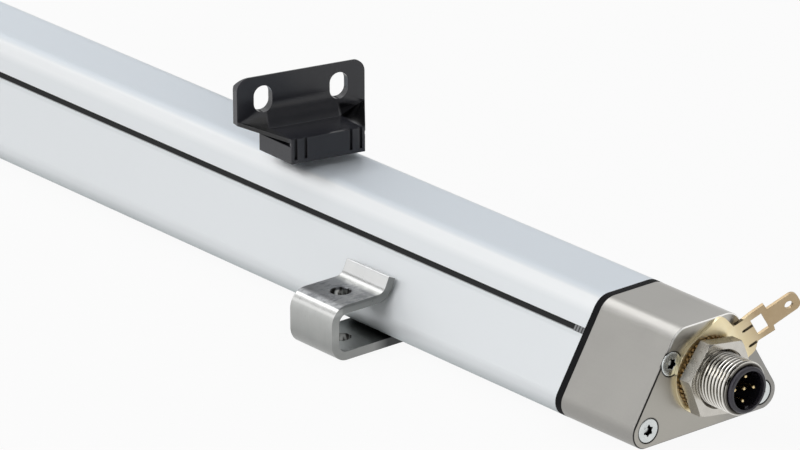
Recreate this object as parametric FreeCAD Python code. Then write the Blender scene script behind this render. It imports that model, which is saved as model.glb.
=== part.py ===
import FreeCAD, Part
import math
import os

os.makedirs("parts", exist_ok=True)

# Frame: +X along the profile towards the connector, +Y to the back, +Z up, millimetres.
# Origin: centre of the profile's flat underside.

# Profile
profile_length = 260.0
section_height = 25.0
section_half = 23.4
section_slope = 0.606
section_bottom_radius = 3.8
section_top_radius = 4.6
profile_wall = 2.2
groove_height = 17.95
groove_width = 1.4
groove_depth = 1.0
plug_length = 3.2
plug_clearance = 0.05
duct_height = 18.9
duct_radius = 4.2
duct_bore = 2.7
duct_web = 3.0
rib_height = 1.2
rib_reach = 1.6
rib_depth = 5.0

# End caps and gaskets
gasket_thickness = 1.9
gasket_proud = 0.02
cap_length = 22.8
rear_cap_length = 12.0
cap_draft = 0.1
cap_chamfer = 0.3
connector_wall = 4.0
pocket_wall = 1.3
pocket_drop = 9.1
pocket_clearance = 0.2

# Cap screws, M3 with countersunk heads, drawn at the thread's core
screw_upper = (9.8, 17.5)
screw_lower = (16.1, 4.05)
screw_core = 1.25
screw_head_radius = 2.65
screw_head_sunk = 0.02
screw_sink_clearance = 0.22
screw_grip = 8.0
screw_passage = 1.6
boss_radius = 2.6

# Connector, M12 x 1
connector_height = 13.1
thread_radius = 5.98
thread_chamfer = 0.6
wall_clearance = 0.05
neck_radius = 5.45
shell_reach = 12.35
shell_bore = 4.85
shell_flange_radius = 7.6
shell_flange = 1.6
seal_thickness = 1.0
insert_radius = 5.15
insert_reach = 13.35
insert_cavity = 4.3
insert_floor = 5.2
insert_back = 7.0
insert_clearance = 0.03
insert_chamfer = 0.3
key_width = 0.9
key_height = 0.75
pin_radius = 0.5
pin_circle = 2.75
pin_turn = -8.0
pin_reach = 12.2
pin_tail = 1.0
tag_thickness = 0.8
washer_thickness = 1.0
nut_thickness = 3.2
nut_flats = 16.0
nut_turn = 51.4
nut_chamfer = 0.5
stack_bore = 6.1
washer_radius = 8.7

# Earth tag
tag_ring = 9.15
tag_direction = 32.6
tag_bend = 10.4
tag_bend_angle = 20.0
tag_corner = 4.0
tag_neck = 7.7
tag_shoulder = 7.9
tag_tab = 4.8
tag_tip = 15.0
tag_hole = 12.7
tag_hole_radius = 0.85
tag_window = (4.0, 6.6)
tag_window_width = 4.6
tag_slit_width = 0.36
tag_slits = (-3.5, 0.3, 3.5)

# Mounting clamp, bent from sheet
clamp_x = 64.8
clamp_length = 14.5
clamp_sheet = 2.0
clamp_clearance = 0.3
clamp_bend_radius = 2.2
clamp_web = -34.3
clamp_top = 10.6
clamp_bend_y = -19.75
clamp_lip_angle = 65.4
clamp_lip_length = 4.5
clamp_toe = -9.5
clamp_hole_y = -25.9
clamp_hole_radius = 2.25
clamp_hole_chamfer = 0.25

# Position magnet
magnet_x = 19.35
magnet_gap = 1.85
magnet_yaw = -12.8
magnet_plate = (32.0, 2.1)
magnet_plate_bevel = (0.4, 2.0)
magnet_plate_bottom = 6.65
magnet_plate_top = 16.7
magnet_plate_corner = 3.0
magnet_depth = 13.8
magnet_block_front = 9.2
magnet_block_rear = 11.6
magnet_block_start = 1.6
magnet_block_height = 3.95
magnet_sheet = 0.9
magnet_neck = 8.4
magnet_wall = 0.9
magnet_fillet = 6.5
magnet_shelf_front = 5.75
magnet_shelf_rear = 4.4
magnet_shelf_half = 8.7
magnet_shelf_start = 2.5
magnet_slot_y = 9.5
magnet_slot_z = 11.2
magnet_slot = (4.6, 6.3)
magnet_front_slits = (5.64, 8.1)
magnet_slit_width = 0.75
magnet_slit_foot = 0.9
magnet_pocket = (2.6, 11.4)
magnet_pocket_half = 7.6
magnet_pocket_height = 4.0
magnet_cover = 0.8
magnet_overlap = 0.45
magnet_bar = (6.8, 1.0)
magnet_clearance = 0.1

# Circuit board, the strip to the connector, and the sensing rod
board_room = 4.1
board_thickness = 1.6
board_length = 90.0
board_setback = 2.0
board_clearance = 0.1
header_size = (6.0, 10.0, 2.4)
header_setback = 3.0
flex_thickness = 0.3
flex_half = 4.3
flex_entry = 1.5
rod_radius = 2.1
rod_reach = 8.0
rod_setback = 2.0
coil_radius = 3.4
coil_length = 4.0
damper_length = 20.0

X_AXIS = FreeCAD.Vector(1, 0, 0)
profile_end = profile_length / 2
cap_rear = profile_end + gasket_thickness
face_x = cap_rear + cap_length
slant = math.sqrt(1 + section_slope ** 2)
board_top = duct_height - duct_radius - board_room
board_height = board_top - board_thickness


def at_x(x):
    return lambda a, b: FreeCAD.Vector(x, a, b)


def at_y(y):
    return lambda a, b: FreeCAD.Vector(a, y, b)


def at_z(z):
    return lambda a, b: FreeCAD.Vector(a, b, z)


def rounded_wire(points, radii, place):
    """Closed wire through 2D points with the given corner radii."""
    edges = []
    starts = []
    n = len(points)
    for i in range(n):
        p = FreeCAD.Vector(*points[i], 0)
        a = (FreeCAD.Vector(*points[i - 1], 0) - p).normalize()
        b = (FreeCAD.Vector(*points[(i + 1) % n], 0) - p).normalize()
        r = radii[i]
        if r <= 0:
            starts.append((p, None, p))
            continue
        half = a.getAngle(b) / 2
        t = r / math.tan(half)
        bisector = (a + b).normalize()
        middle = p + bisector * (r / math.sin(half) - r)
        starts.append((p + a * t, middle, p + b * t))
    for i in range(n):
        first, middle, last = (place(v.x, v.y) if v else None for v in starts[i])
        following = starts[(i + 1) % n][0]
        if middle:
            edges.append(Part.Arc(first, middle, last).toShape())
        edges.append(Part.makeLine(last, place(following.x, following.y)))
    return Part.Wire(edges)


def prism(points, radii, place, travel):
    face = Part.Face(rounded_wire(points, radii, place))
    return face.extrude(travel)


def obround(y, z, width, height, x, travel):
    """Upright slot with round ends, cut along X."""
    r, rise = width / 2, (height - width) / 2
    place = at_x(x)
    over = Part.Arc(place(y + r, z + rise), place(y, z + rise + r), place(y - r, z + rise)).toShape()
    under = Part.Arc(place(y - r, z - rise), place(y, z - rise - r), place(y + r, z - rise)).toShape()
    sides = [Part.makeLine(place(y - r, z + rise), place(y - r, z - rise)),
             Part.makeLine(place(y + r, z - rise), place(y + r, z + rise))]
    wire = Part.Wire([over, sides[0], under, sides[1]])
    return Part.Face(wire).extrude(FreeCAD.Vector(travel, 0, 0))


def sheet_outline(points, thickness, inner_radius):
    """Outline and corner radii of a bent sheet along its middle line."""
    left, right, left_r, right_r = [], [], [], []
    h = thickness / 2
    for i in range(len(points)):
        p = FreeCAD.Vector(*points[i], 0)
        before = (p - FreeCAD.Vector(*points[i - 1], 0)).normalize() if i else None
        after = (FreeCAD.Vector(*points[i + 1], 0) - p).normalize() if i + 1 < len(points) else None
        d0 = before or after
        d1 = after or before
        n0, n1 = FreeCAD.Vector(-d0.y, d0.x, 0), FreeCAD.Vector(-d1.y, d1.x, 0)
        mitre = (n0 + n1).normalize()
        reach = h / mitre.dot(n0)
        left.append(((p + mitre * reach).x, (p + mitre * reach).y))
        right.append(((p - mitre * reach).x, (p - mitre * reach).y))
        turn = d0.x * d1.y - d0.y * d1.x
        bent = abs(turn) > 1e-9
        left_r.append((inner_radius if turn > 0 else inner_radius + thickness) if bent else 0)
        right_r.append((inner_radius + thickness if turn > 0 else inner_radius) if bent else 0)
    return left + right[::-1], left_r + right_r[::-1]


def cylinder(radius, x0, x1, y=0.0, z=0.0):
    return Part.makeCylinder(radius, x1 - x0, FreeCAD.Vector(x0, y, z), X_AXIS)


def ring(outer, inner, x0, x1, y=0.0, z=0.0):
    return cylinder(outer, x0, x1, y, z).cut(cylinder(inner, x0 - 1, x1 + 1, y, z))


def box(x0, x1, y0, y1, z0, z1):
    return Part.makeBox(x1 - x0, y1 - y0, z1 - z0, FreeCAD.Vector(x0, y0, z0))


def revolve(points, z, y=0.0):
    """Solid of revolution about the X line through y and z from (x, r) points."""
    ordered = [FreeCAD.Vector(x, y, z + r) for x, r in points]
    face = Part.Face(Part.makePolygon(ordered + [ordered[0]]))
    return face.revolve(FreeCAD.Vector(0, y, z), X_AXIS, 360)


def section_wire(inset, x):
    """The rounded trapezoid of the housing, drawn in by inset, at one X."""
    low, high = inset, section_height - inset
    wide = section_half - section_slope * low - inset * slant
    top = section_half - section_slope * high - inset * slant
    r1 = max(section_bottom_radius - inset, 0.6)
    r2 = max(section_top_radius - inset, 0.6)
    points = [(-wide, low), (wide, low), (top, high), (-top, high)]
    return rounded_wire(points, [r1, r1, r2, r2], at_x(x))


def housing(stations):
    """Solid through section wires given as (inset, x)."""
    if len(stations) == 2 and stations[0][0] == stations[1][0]:
        (inset, x0), (_, x1) = stations
        return Part.Face(section_wire(inset, x0)).extrude(FreeCAD.Vector(x1 - x0, 0, 0))
    return Part.makeLoft([section_wire(i, x) for i, x in stations], True, True)


def side_y(z):
    return section_half - section_slope * z


screw_places = [(s * y, z) for y, z in (screw_upper, screw_lower) for s in (-1, 1)]


def save(name, *shapes):
    solids = [solid for shape in shapes for solid in shape.Solids]
    for solid in solids:
        if not solid.isValid():
            print("check", name, "is not valid")
    shape = solids[0] if len(solids) == 1 else Part.makeCompound(solids)
    shape.exportStep("parts/" + name + ".step")
    print(name, len(solids), round(shape.Volume, 1))


# Profile extrusion
chamber = housing([(profile_wall, -profile_end - 1), (profile_wall, profile_end + 1)])
bosses = [cylinder(boss_radius, -profile_end, profile_end, y, z) for y, z in screw_places]
duct = cylinder(duct_radius, -profile_end, profile_end, 0, duct_height)
board_half = side_y(board_top) - profile_wall * slant - board_clearance
ribs = []
for side in (-1, 1):
    for z in (board_height - rib_height, board_top + board_clearance):
        inner = board_half - rib_reach
        y0, y1 = sorted((side * inner, side * (inner + rib_depth)))
        ribs.append(box(-profile_end, profile_end, y0, y1, z, z + rib_height))
web = box(-profile_end, profile_end, -duct_web / 2, duct_web / 2, duct_height + duct_bore,
          section_height - profile_wall / 2)
lining = duct.multiFuse(bosses + ribs + [web])
outer = housing([(0, -profile_end), (0, profile_end)])
profile = outer.cut(chamber).fuse(lining.common(outer)).removeSplitter()
bores = [cylinder(screw_core, -profile_end - 1, profile_end + 1, y, z) for y, z in screw_places]
bores.append(cylinder(duct_bore, -profile_end - 1, profile_end + 1, 0, duct_height))
grooves = []
for side in (-1, 1):
    rise = FreeCAD.Vector(0, -side * section_slope, 1).normalize()
    inward = FreeCAD.Vector(0, -side, -section_slope).normalize()
    mouth = FreeCAD.Vector(0, side * side_y(groove_height), groove_height)
    corners = []
    for a, b in ((-0.5, -1), (0.5, -1), (0.5, 1), (-0.5, 1)):
        v = mouth + rise * (a * groove_width) + inward * (b * groove_depth)
        corners.append((v.y, v.z))
    grooves.append(prism(corners, [0] * 4, at_x(-profile_end - 1),
                         FreeCAD.Vector(profile_length + 2, 0, 0)))
profile = profile.cut(Part.makeCompound(bores + grooves))
save("profile", profile)

# Groove plugs
plugs = []
for end in (-1, 1):
    x0 = profile_end - plug_length if end > 0 else -profile_end
    slab = housing([(0.15, x0), (0.15, x0 + plug_length)])
    for groove, side in zip(grooves, (-1, 1)):
        rise = FreeCAD.Vector(0, -side * section_slope, 1).normalize() * plug_clearance
        strip = groove.common(groove.translated(rise)).common(groove.translated(-rise))
        plugs.append(strip.common(slab))
save("groove_plugs", *plugs)


pocket_half = screw_upper[0] - screw_passage - pocket_wall
pocket_floor = connector_height - pocket_drop
pocket_top = duct_height + coil_radius + pocket_clearance


def pocket(x0, x1):
    """The space between the screws for the strip, the rod and its coil."""
    return box(x0, x1, -pocket_half, pocket_half, pocket_floor, pocket_top)


def drilled(body, radius, x0, x1):
    return body.cut(Part.makeCompound([cylinder(radius, x0, x1, y, z) for y, z in screw_places]))


# End gaskets
def gasket(x0):
    x1 = x0 + gasket_thickness
    band = housing([(-gasket_proud, x0), (-gasket_proud, x1)])
    return drilled(band.cut(pocket(x0 - 1, x1 + 1)), screw_passage, x0 - 1, x1 + 1)


save("front_gasket", gasket(profile_end))
save("rear_gasket", gasket(-profile_end - gasket_thickness))


# End caps
def cap(rear, length, toward):
    """Cap from its gasket face at rear, running length along +X or -X, with its screw holes."""
    front = rear + toward * length
    body = housing([(0, rear), (cap_draft, front - toward * cap_chamfer),
                    (cap_draft + cap_chamfer, front)])
    x0, x1 = sorted((rear - toward, front))
    body = drilled(body, screw_passage, x0, x1)
    mouth = screw_head_radius + screw_sink_clearance
    sink = [(front + toward, 0), (front + toward, mouth + 1),
            (front - toward * (mouth - screw_passage), screw_passage),
            (front - toward * (mouth - screw_passage), 0)]
    return body.cut(Part.makeCompound([revolve(sink, z, y) for y, z in screw_places]))


wall_back = face_x - connector_wall
flange_front = wall_back - seal_thickness
flange_back = flange_front - shell_flange
front_cap = cap(cap_rear, cap_length, 1).cut(pocket(cap_rear - 1, wall_back))
seat = cylinder(shell_flange_radius + wall_clearance, flange_back - insert_back, wall_back, 0,
                connector_height)
passage = cylinder(thread_radius + wall_clearance, cap_rear, face_x + 1, 0, connector_height)
save("front_cap", front_cap.cut(seat).cut(passage))
save("rear_cap", cap(-cap_rear, rear_cap_length, -1))


# Cap screws
def cap_screws(front, length, toward):
    """Four countersunk screws whose heads lie flush with the cap's face."""
    rim = front - toward * screw_sink_clearance
    shank = rim - toward * (screw_head_radius - screw_core)
    outline = [(front - toward * screw_head_sunk, 0),
               (front - toward * screw_head_sunk, screw_head_radius), (rim, screw_head_radius),
               (shank, screw_core), (front - toward * length, screw_core),
               (front - toward * length, 0)]
    return [revolve(outline, z, y) for y, z in screw_places]


grip = gasket_thickness + screw_grip
save("front_cap_screws", *cap_screws(face_x, cap_length + grip, 1))
save("rear_cap_screws", *cap_screws(-cap_rear - rear_cap_length, rear_cap_length + grip, -1))

# Connector shell; the free thread is drawn at its crest, with a neck at its root under the nut
shell_end = face_x + shell_reach
nut_end = face_x + tag_thickness + washer_thickness + nut_thickness
shell = revolve([
    (flange_back, shell_bore), (flange_back, shell_flange_radius),
    (flange_front, shell_flange_radius), (flange_front, neck_radius), (nut_end, neck_radius),
    (nut_end, thread_radius), (shell_end - thread_chamfer, thread_radius),
    (shell_end, thread_radius - thread_chamfer), (shell_end, shell_bore)], connector_height)
save("connector_shell", shell)

# Insert, pins and seal
insert_rear = flange_back - insert_back
insert_end = face_x + insert_reach
insert_body = shell_bore - insert_clearance
insert_rim = shell_end + insert_clearance
insert = revolve([
    (insert_rear, 0), (insert_rear, insert_body), (insert_rim, insert_body),
    (insert_rim, insert_radius), (insert_end - insert_chamfer, insert_radius),
    (insert_end, insert_radius - insert_chamfer), (insert_end, insert_cavity),
    (face_x + insert_floor, insert_cavity), (face_x + insert_floor, 0)], connector_height)
key_foot = connector_height - insert_cavity - insert_clearance * 5
key = box(face_x + insert_floor - insert_chamfer, insert_end - insert_chamfer * 2, -key_width / 2,
          key_width / 2, key_foot, key_foot + key_height)
insert = insert.fuse(key)
pin_places = [(0.0, 0.0)]
for k in range(4):
    turn = math.radians(pin_turn + 90 * k)
    pin_places.append((pin_circle * math.cos(turn), pin_circle * math.sin(turn)))
pins = [cylinder(pin_radius, insert_rear - pin_tail, face_x + pin_reach, y, connector_height + z)
        for y, z in pin_places]
insert = insert.cut(Part.makeCompound(pins))
save("connector_insert", insert)
save("contact_pins", *pins)
save("connector_seal", ring(shell_flange_radius - 0.3, stack_bore, flange_front, wall_back, 0,
                            connector_height))

# Earth tag: flat ring with a neck bent forward and a solder tab
along = FreeCAD.Vector(0, math.cos(math.radians(tag_direction)), math.sin(math.radians(tag_direction)))
across = FreeCAD.Vector(0, -along.z, along.y)
centre = FreeCAD.Vector(face_x, 0, connector_height)


def tag_plane(base, direction):
    return lambda a, b: base + direction * a + across * b


flat = prism([(0, -tag_ring), (tag_bend, -tag_ring), (tag_bend, tag_ring), (0, tag_ring)],
             [0, tag_corner, tag_corner, 0], tag_plane(centre, along), X_AXIS * tag_thickness)
disc = cylinder(tag_ring, face_x, face_x + tag_thickness, 0, connector_height)
bend = math.radians(tag_bend_angle)
outward = along * math.cos(bend) + X_AXIS * math.sin(bend)
lift = X_AXIS * math.cos(bend) - along * math.sin(bend)
hinge = centre + along * tag_bend


def strip(a0, a1, width, corner=0.0):
    w = width / 2
    return prism([(a0, -w), (a1, -w), (a1, w), (a0, w)], [0, corner, corner, 0],
                 tag_plane(hinge, outward), lift * tag_thickness)


neck = strip(0, tag_shoulder, tag_neck, 0.4)
tab = strip(tag_shoulder - 1, tag_tip, tag_tab, tag_tab / 2 - 0.01)
tag = disc.multiFuse([flat, neck, tab])
w = tag_window_width / 2
window = prism([(tag_window[0], -w), (tag_window[1], -w), (tag_window[1], w), (tag_window[0], w)],
               [0] * 4, tag_plane(hinge - lift * tag_thickness, outward), lift * (3 * tag_thickness))
hole = Part.makeCylinder(tag_hole_radius, 4, hinge + outward * tag_hole - lift * 2, lift)
cuts = [window, hole, cylinder(stack_bore, face_x - 1, face_x + 2, 0, connector_height)]
for offset in tag_slits:
    slit = box(-0.4, tag_window[0] - 1.6, offset - tag_slit_width / 2, offset + tag_slit_width / 2, -1, 2)
    frame = FreeCAD.Matrix(outward.x, across.x, lift.x, hinge.x, outward.y, across.y, lift.y, hinge.y,
                           outward.z, across.z, lift.z, hinge.z, 0, 0, 0, 1)
    cuts.append(slit.transformGeometry(frame))
save("earth_tag", tag.cut(Part.makeCompound(cuts)))

# Lock washer, drawn at the reach of its teeth
washer_x = face_x + tag_thickness
save("lock_washer", ring(washer_radius, stack_bore, washer_x, washer_x + washer_thickness, 0,
                         connector_height))

# Hexagon nut, chamfered on its front
nut_x = washer_x + washer_thickness
corner_radius = nut_flats / math.sqrt(3)
hexagon = []
for k in range(6):
    turn = math.radians(nut_turn + 60 * k)
    hexagon.append((corner_radius * math.cos(turn), connector_height + corner_radius * math.sin(turn)))
nut = prism(hexagon, [0] * 6, at_x(nut_x), FreeCAD.Vector(nut_thickness, 0, 0))
dome = revolve([(nut_x, 0), (nut_x, corner_radius + 1), (nut_end - nut_chamfer, corner_radius + 0.2),
                (nut_end, corner_radius - nut_chamfer), (nut_end, 0)], connector_height)
bore = revolve([(nut_x - 1, 0), (nut_x - 1, stack_bore), (nut_end - nut_chamfer, stack_bore),
                (nut_end + nut_chamfer, stack_bore + nut_chamfer * 2), (nut_end + nut_chamfer, 0)],
               connector_height)
save("connector_nut", nut.common(dome).cut(bore))

# Circuit board with its components and, below it, the socket of the flexible strip
board_x1 = profile_end - board_setback
board_x0 = board_x1 - board_length
save("circuit_board", box(board_x0, board_x1, -board_half, board_half, board_height, board_top))
chips = []
for back, aside, long, wide, tall in ((0.75, 0, 0.12, 0.7, 0.4), (0.55, -0.45, 0.08, 0.35, 0.35),
                                      (0.55, 0.45, 0.06, 0.4, 0.3), (0.37, 0, 0.14, 0.55, 0.5),
                                      (0.22, 0.55, 0.05, 0.2, 0.25), (0.2, -0.55, 0.07, 0.3, 0.45)):
    x, dx = board_x1 - back * board_length, long * board_length / 2
    y, dy = aside * board_half, wide * board_half / 2
    chips.append(box(x - dx, x + dx, y - dy, y + dy, board_top, board_top + tall * board_room))
header_front = board_x1 - header_setback
header = box(header_front - header_size[0], header_front, -header_size[1] / 2, header_size[1] / 2,
             board_height - header_size[2], board_height)

# Flexible strip from the pins' tails to the board's socket
flex_level = board_height - header_size[2] / 2
flex_x = insert_rear - pin_tail - flex_thickness / 2
flex_line = [(header_front - flex_entry, flex_level), (flex_x, flex_level),
             (flex_x, connector_height + flex_half)]
flex_outline, flex_radii = sheet_outline(flex_line, flex_thickness, flex_thickness * 2)
flex = prism(flex_outline, flex_radii, at_y(-flex_half), FreeCAD.Vector(0, 2 * flex_half, 0))
save("connector_flex", flex)
save("board_components", header.cut(flex), *chips)

# Sensing rod in its duct, with its pickup coil and the damper at the far end
rod_end = profile_end + rod_reach
rod_start = rod_setback - profile_end
save("sensing_rod", cylinder(rod_radius, rod_start, rod_end, 0, duct_height))
coil_x = rod_end - rod_radius / 2
save("pickup_coil", ring(coil_radius, rod_radius + insert_clearance, coil_x - coil_length, coil_x, 0,
                         duct_height))
save("rod_damper", ring(duct_bore - insert_clearance, rod_radius + insert_clearance, rod_start,
                        rod_start + damper_length, 0, duct_height))

# Mounting clamp
lip = math.radians(clamp_lip_angle)
web_middle = clamp_web + clamp_sheet / 2
foot_middle = -clamp_clearance - clamp_sheet / 2
plate_middle = clamp_top - clamp_sheet / 2


bend_middle = clamp_bend_y + clamp_sheet / 2 * math.tan(lip / 2)
tip = (bend_middle + clamp_lip_length * math.cos(lip), plate_middle + clamp_lip_length * math.sin(lip))
middle_line = [(clamp_toe, foot_middle), (web_middle, foot_middle), (web_middle, plate_middle),
               (bend_middle, plate_middle), tip]
outline, radii = sheet_outline(middle_line, clamp_sheet, clamp_bend_radius)
radii = [r if r else 0.3 for r in radii]
clamp = prism(outline, radii, at_x(clamp_x - clamp_length / 2), FreeCAD.Vector(clamp_length, 0, 0))
hole = Part.makeCylinder(clamp_hole_radius, clamp_top + 4 * clamp_sheet,
                         FreeCAD.Vector(clamp_x, clamp_hole_y, -2 * clamp_sheet))
sink = Part.makeCone(clamp_hole_radius, clamp_hole_radius + clamp_hole_chamfer, clamp_hole_chamfer,
                     FreeCAD.Vector(clamp_x, clamp_hole_y, clamp_top - clamp_hole_chamfer))
save("mounting_clamp", clamp.cut(hole).cut(sink))

# Position magnet, drawn in its own frame: X forward, Y across, Z up from its underside
plate_half, plate_thick = magnet_plate[0] / 2, magnet_plate[1]


def tray_points(half, rim, floor):
    """Cross section of the bent sheet, its rims higher than its floor."""
    top = [(-half, rim), (-magnet_shelf_half, floor), (magnet_shelf_half, floor), (half, rim)]
    return [(y, z - magnet_sheet) for y, z in top], top[::-1]


def tray_wire(x, half, rim, floor):
    under, top = tray_points(half, rim, floor)
    vertices = [FreeCAD.Vector(x, y, z) for y, z in under + top]
    return Part.makePolygon(vertices + [vertices[0]])


under, _ = tray_points(plate_half, magnet_plate_bottom, magnet_shelf_rear)
plate = prism(under + [(plate_half, magnet_plate_top), (-plate_half, magnet_plate_top)],
              [0] * 4 + [magnet_plate_corner] * 2, at_x(-plate_thick),
              FreeCAD.Vector(plate_thick, 0, 0))
bevel_x, bevel_drop = magnet_plate_bevel
bevel = prism([(-bevel_x, magnet_plate_top), (-plate_thick, magnet_plate_top - bevel_drop),
               (-plate_thick - 1, magnet_plate_top - bevel_drop), (-plate_thick - 1, magnet_plate_top + 1),
               (-bevel_x, magnet_plate_top + 1)], [0] * 5, at_y(-plate_half - 1),
              FreeCAD.Vector(0, 2 * plate_half + 2, 0))
tray = Part.makeLoft([tray_wire(0, plate_half, magnet_plate_bottom, magnet_shelf_rear),
                      tray_wire(magnet_depth, magnet_block_front, magnet_shelf_front + 0.1,
                                magnet_shelf_front)], True, True)
block = prism([(magnet_block_start, -magnet_block_rear), (magnet_depth, -magnet_block_front),
               (magnet_depth, magnet_block_front), (magnet_block_start, magnet_block_rear)],
              [0.5, 0.3, 0.3, 0.5], at_z(0), FreeCAD.Vector(0, 0, magnet_block_height))
wall = prism([(magnet_depth - magnet_wall, -magnet_block_front), (magnet_depth, -magnet_block_front),
              (magnet_depth, magnet_block_front), (magnet_depth - magnet_wall, magnet_block_front)],
             [0, 0.3, 0.3, 0], at_z(magnet_overlap),
             FreeCAD.Vector(0, 0, magnet_shelf_front - magnet_overlap))
rise = (magnet_shelf_front - magnet_shelf_rear) / magnet_depth
neck_start = magnet_block_start + magnet_wall
neck_end = magnet_depth - magnet_wall / 2
neck = prism([(neck_start, magnet_block_height - magnet_overlap),
              (neck_end, magnet_block_height - magnet_overlap),
              (neck_end, magnet_shelf_rear + rise * neck_end - magnet_overlap),
              (neck_start, magnet_shelf_rear + rise * neck_start - magnet_overlap)], [0] * 4,
             at_y(-magnet_neck), FreeCAD.Vector(0, 2 * magnet_neck, 0))

# Hollow corner between the plate and the shelf, running out to nothing at the plate's lower corners
foot_z = magnet_shelf_rear - magnet_overlap
fillet_radius = (magnet_fillet ** 2 + magnet_shelf_start ** 2) / (2 * magnet_shelf_start)
middle_z = foot_z + magnet_fillet / 2
middle_x = fillet_radius - math.sqrt(fillet_radius ** 2 - (magnet_fillet / 2) ** 2)


def hollow_wire(y):
    start, middle, end, corner, back = (FreeCAD.Vector(x, y, z) for x, z in (
        (0, foot_z + magnet_fillet), (middle_x, middle_z), (magnet_shelf_start, foot_z),
        (-magnet_overlap, foot_z), (-magnet_overlap, foot_z + magnet_fillet)))
    return Part.Wire([Part.Arc(start, middle, end).toShape(), Part.makeLine(end, corner),
                      Part.makeLine(corner, back), Part.makeLine(back, start)])


tips = [Part.Vertex(0, side * plate_half, magnet_plate_bottom - magnet_sheet / 2) for side in (-1, 1)]
hollow = Part.makeLoft([tips[0], hollow_wire(-magnet_shelf_half), hollow_wire(magnet_shelf_half), tips[1]],
                       True, True)
bracket = plate.cut(bevel).multiFuse([tray, block, wall, neck, hollow])
cuts = []
for side in (-1, 1):
    cuts.append(obround(side * magnet_slot_y, magnet_slot_z, magnet_slot[0], magnet_slot[1],
                        -plate_thick - 1, plate_thick + 2))
    for place in magnet_front_slits:
        y = side * place
        cuts.append(box(magnet_depth - magnet_wall, magnet_depth + 1, y - magnet_slit_width / 2,
                        y + magnet_slit_width / 2, magnet_slit_foot, magnet_plate_bottom))
pocket = box(magnet_pocket[0], magnet_pocket[1], -magnet_pocket_half, magnet_pocket_half, -1,
             magnet_pocket_height)
bracket = bracket.cut(Part.makeCompound(cuts + [pocket]))
cover = box(magnet_pocket[0], magnet_pocket[1], -magnet_pocket_half, magnet_pocket_half, 0,
            magnet_cover)
bars = []
for side in (-1, 1):
    y0, y1 = sorted((side * magnet_bar[1] / 2, side * (magnet_bar[1] / 2 + magnet_bar[0])))
    bars.append(box(magnet_pocket[0] + magnet_clearance, magnet_pocket[1] - magnet_clearance, y0, y1,
                    magnet_cover, magnet_pocket_height - magnet_clearance))


def place_magnet(shape):
    shape = shape.copy()
    shape.rotate(FreeCAD.Vector(0, 0, 0), FreeCAD.Vector(0, 0, 1), magnet_yaw)
    shape.translate(FreeCAD.Vector(magnet_x, 0, section_height + magnet_gap))
    return shape


save("magnet_bracket", place_magnet(bracket))
save("magnet_cover", place_magnet(cover))
save("magnet_bars", *[place_magnet(bar) for bar in bars])
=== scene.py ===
import bmesh
import bpy
import math
from mathutils import Matrix, Vector


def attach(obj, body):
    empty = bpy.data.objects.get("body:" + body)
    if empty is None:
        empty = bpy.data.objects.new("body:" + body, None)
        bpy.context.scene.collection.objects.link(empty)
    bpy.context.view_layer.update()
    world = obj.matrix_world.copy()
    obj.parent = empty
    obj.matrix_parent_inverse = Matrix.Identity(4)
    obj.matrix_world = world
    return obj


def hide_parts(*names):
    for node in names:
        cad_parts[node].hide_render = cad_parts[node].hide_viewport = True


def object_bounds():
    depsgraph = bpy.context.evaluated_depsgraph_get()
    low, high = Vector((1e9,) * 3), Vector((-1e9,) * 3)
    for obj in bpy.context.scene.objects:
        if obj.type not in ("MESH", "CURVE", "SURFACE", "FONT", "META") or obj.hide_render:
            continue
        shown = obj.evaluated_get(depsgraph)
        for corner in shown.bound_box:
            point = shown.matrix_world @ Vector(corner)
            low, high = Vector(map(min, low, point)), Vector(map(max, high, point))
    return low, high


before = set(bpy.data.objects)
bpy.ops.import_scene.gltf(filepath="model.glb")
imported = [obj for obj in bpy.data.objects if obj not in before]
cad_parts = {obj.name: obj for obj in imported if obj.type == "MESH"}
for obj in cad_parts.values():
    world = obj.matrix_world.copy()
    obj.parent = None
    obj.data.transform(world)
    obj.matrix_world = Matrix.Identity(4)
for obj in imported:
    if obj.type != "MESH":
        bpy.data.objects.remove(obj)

cad_box = [list(corner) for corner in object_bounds()]
mm = 0.001

# Camera. A long lens about 1.3 m from the connector, looking down on the near side of the
# profile, as the photograph was taken.
lens = bpy.data.cameras.new("camera")
lens.lens = 276.70
lens.sensor_width = 36.0
lens.clip_start = 0.05
lens.clip_end = 20.0
camera = bpy.data.objects.new("camera", lens)
right = Vector((0.63979924, 0.76853523, -0.00324533))
up = Vector((-0.27795938, 0.23533162, 0.93132036))
back = Vector((0.71651623, -0.59495599, 0.36418657))
turn = Matrix((right, up, back)).transposed().to_4x4()
camera.matrix_world = Matrix.Translation((1.0329188, -0.8128301, 0.5138317)) @ turn
bpy.context.collection.objects.link(camera)
bpy.context.scene.camera = camera
bpy.context.scene.view_settings.view_transform = "Standard"


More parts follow.
